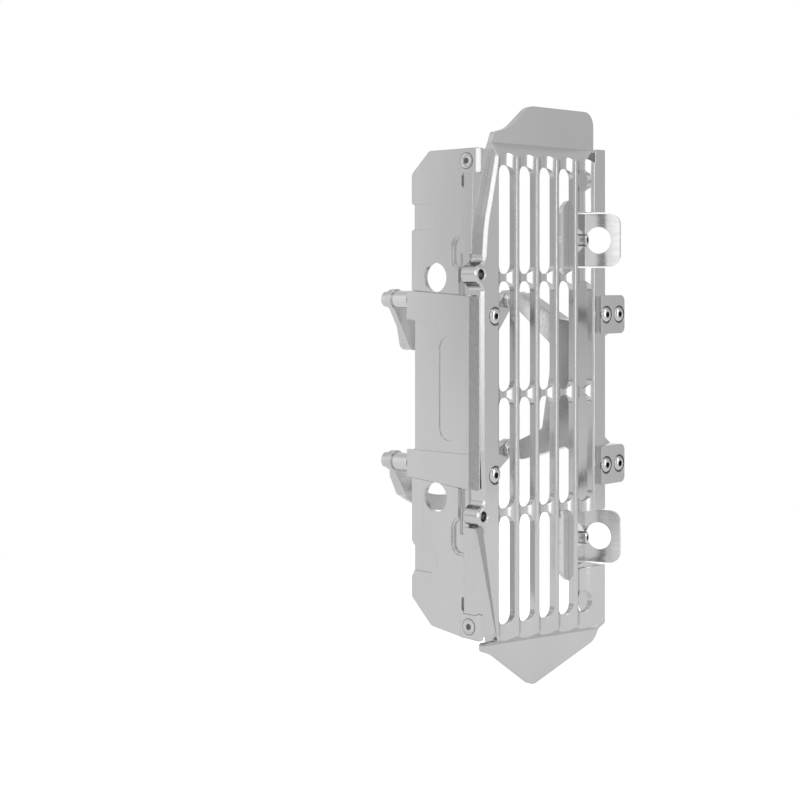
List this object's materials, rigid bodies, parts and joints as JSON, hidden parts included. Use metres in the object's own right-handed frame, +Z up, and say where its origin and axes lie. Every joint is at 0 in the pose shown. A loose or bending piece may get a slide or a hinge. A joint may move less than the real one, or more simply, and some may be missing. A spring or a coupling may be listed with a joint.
{
  "type": "radiator grille",
  "caption": "Machined aluminium guard that bolts round one radiator of an off-road motorcycle: slotted front grille, side plate, braces and arched rear arms.",
  "frame": {"origin": "centre of the hole in the upper tab, at the middle of the tab's sheet", "axes": "+Z up as fitted, along the guard's length; the grille faces -Y; +X points from the outer side of the machine to the frame side"},
  "size_m": [0.1266, 0.0844, 0.3099],
  "materials": {
    "satin_aluminium": "satin, bead blasted",
    "turned_aluminium": "turned, bright",
    "stainless_steel": "bright",
    "brushed_tab_sheet": "brushed"
  },
  "bodies": {
    "root": {"front_grille": "satin_aluminium", "side_plate": "satin_aluminium", "side_brace": "satin_aluminium", "claw_brace": "satin_aluminium", "upper_arch_arm": "satin_aluminium", "lower_arch_arm": "satin_aluminium", "upper_brace_link": "satin_aluminium", "lower_brace_link": "satin_aluminium", "upper_claw_link": "satin_aluminium", "lower_claw_link": "satin_aluminium", "upper_claw_spacer": "turned_aluminium", "lower_claw_spacer": "turned_aluminium", "upper_brace_spacer": "turned_aluminium", "lower_brace_spacer": "turned_aluminium", "claw_collars": "turned_aluminium", "brace_eye_screws": "stainless_steel", "claw_eye_screws": "stainless_steel", "link_screws": "stainless_steel", "margin_screws": "stainless_steel", "ear_screws": "stainless_steel", "side_plate_screws": "stainless_steel", "upper_tab": "brushed_tab_sheet", "lower_tab": "brushed_tab_sheet", "tab_screws": "stainless_steel", "tab_nuts": "stainless_steel"}
  },
  "joints": []
}
